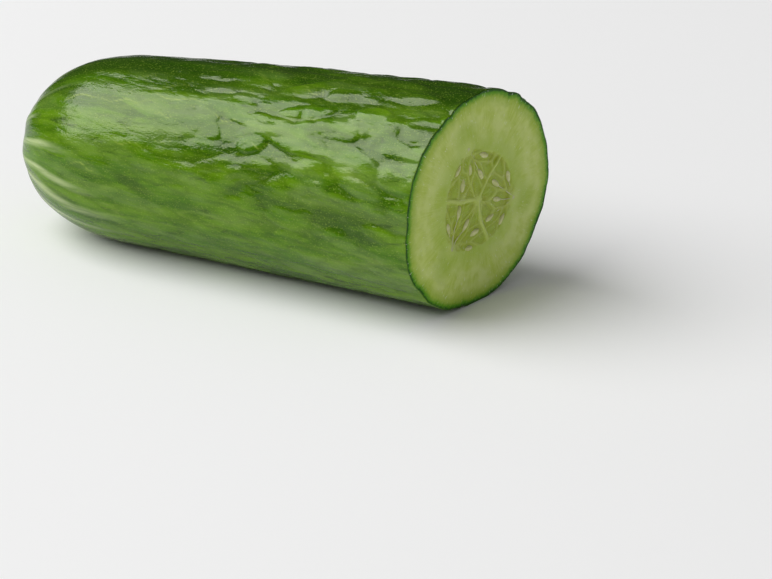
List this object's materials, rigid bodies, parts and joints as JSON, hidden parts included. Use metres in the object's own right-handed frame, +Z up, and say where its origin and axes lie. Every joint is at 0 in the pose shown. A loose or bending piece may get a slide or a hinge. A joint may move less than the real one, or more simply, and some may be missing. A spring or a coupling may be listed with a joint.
{
  "type": "cucumber",
  "caption": "Blossom-end half of a fresh green cucumber lying on its side, glossy ridged skin, rounded tip and a knife-cut face of pale flesh with seeds.",
  "frame": {"origin": "on the table surface, under the middle of the fruit's bounding box", "axes": "+X along the fruit from the rounded blossom end to the cut face, +Z up from the table, -Y towards the side that the slightly bent fruit curves to"},
  "size_m": [0.1198, 0.0496, 0.0497],
  "materials": {
    "skin": "waxy, glossy, dark green with fine yellow-green lengthwise streaks",
    "flesh": "wet, freshly cut, pale green-white with translucent seed gel",
    "seed": "wet, cream, slightly translucent"
  },
  "bodies": {
    "root": {"cucumber": "skin"}
  },
  "joints": []
}
